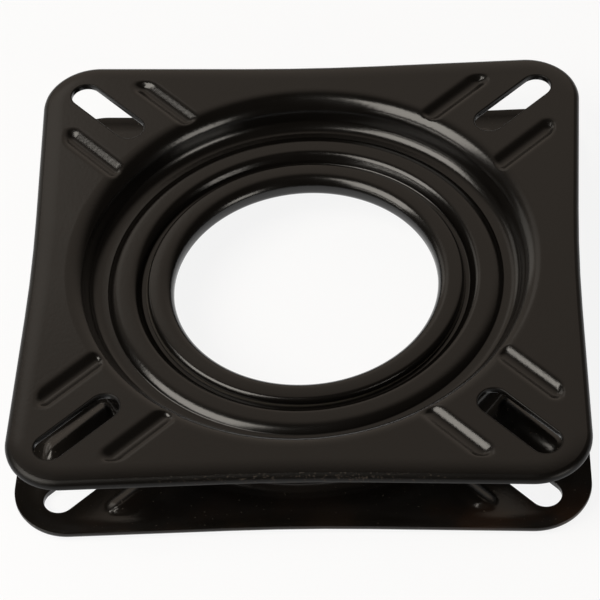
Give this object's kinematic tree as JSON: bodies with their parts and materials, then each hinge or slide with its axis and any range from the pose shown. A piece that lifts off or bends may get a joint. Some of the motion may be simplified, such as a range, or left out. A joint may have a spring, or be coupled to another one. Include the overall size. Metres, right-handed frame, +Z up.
{
  "type": "boat seat swivel",
  "caption": "Square boat seat swivel: two pressed black steel plates with slotted corners turn on a nylon ring, held by a rolled centre collar.",
  "frame": {"origin": "on the swivel axis, on the face of the lower plate that lies on the pedestal", "axes": "+Z up along the swivel axis; X and Y along the sides of both plates"},
  "size_m": [0.1788, 0.1788, 0.0286],
  "materials": {
    "black_coat": "satin black electro-coat on pressed steel, chipped along the front edge",
    "nylon": "natural moulded nylon"
  },
  "bodies": {
    "base": {"lower_plate": "black_coat", "bearing_ring": "nylon", "glide_ring": "nylon"},
    "seat_plate": {"upper_plate": "black_coat"}
  },
  "joints": [
    {"name": "swivel", "type": "hinge", "parent": "base", "child": "seat_plate", "pos_m": [0, 0, 0.0143], "axis": [0, 0, 1], "continuous": true}
  ]
}
